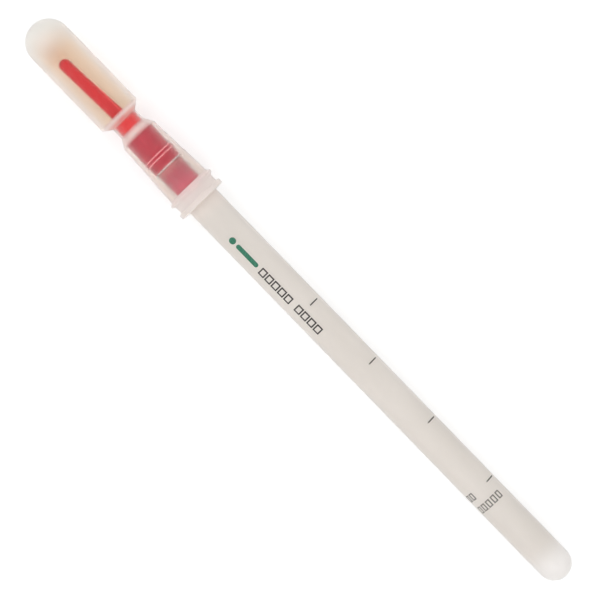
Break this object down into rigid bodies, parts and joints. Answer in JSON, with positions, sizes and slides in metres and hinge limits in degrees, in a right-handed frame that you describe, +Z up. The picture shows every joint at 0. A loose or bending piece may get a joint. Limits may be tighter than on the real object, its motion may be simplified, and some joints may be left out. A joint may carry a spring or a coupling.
{
  "type": "specimen swab tube",
  "caption": "Translucent sample tube with a hollow-shafted swab inside, closed by a milky squeeze bulb of broth with a red snap valve; it lies on its side.",
  "frame": {"origin": "on the surface that the device lies on, under the middle of its length and width", "axes": "+X along the device from the bulb to the tube's closed end, +Y to its side, +Z up from the surface that it lies on; its axis dips 1 degree towards +X, because the skirt's ring is wider than the tube"},
  "size_m": [0.1996, 0.0142, 0.0144],
  "materials": {
    "tube_plastic": "satin",
    "milky_plastic": "satin",
    "red_plastic": "satin",
    "shaft_plastic": "satin",
    "bud_fibre": "matte",
    "broth_liquid": "gloss",
    "dark_ink": "matte",
    "green_ink": "matte"
  },
  "bodies": {
    "tube": {"sample_tube": "tube_plastic"},
    "swab": {"bulb_cap": "milky_plastic", "snap_valve": "red_plastic", "swab_shaft": "shaft_plastic", "swab_bud": "bud_fibre", "broth": "broth_liquid"}
  },
  "joints": [
    {"name": "swab_pull", "type": "slide", "parent": "tube", "child": "swab", "axis": [-0.9998, 0, 0.0186], "range_m": [0, 0.15]}
  ]
}
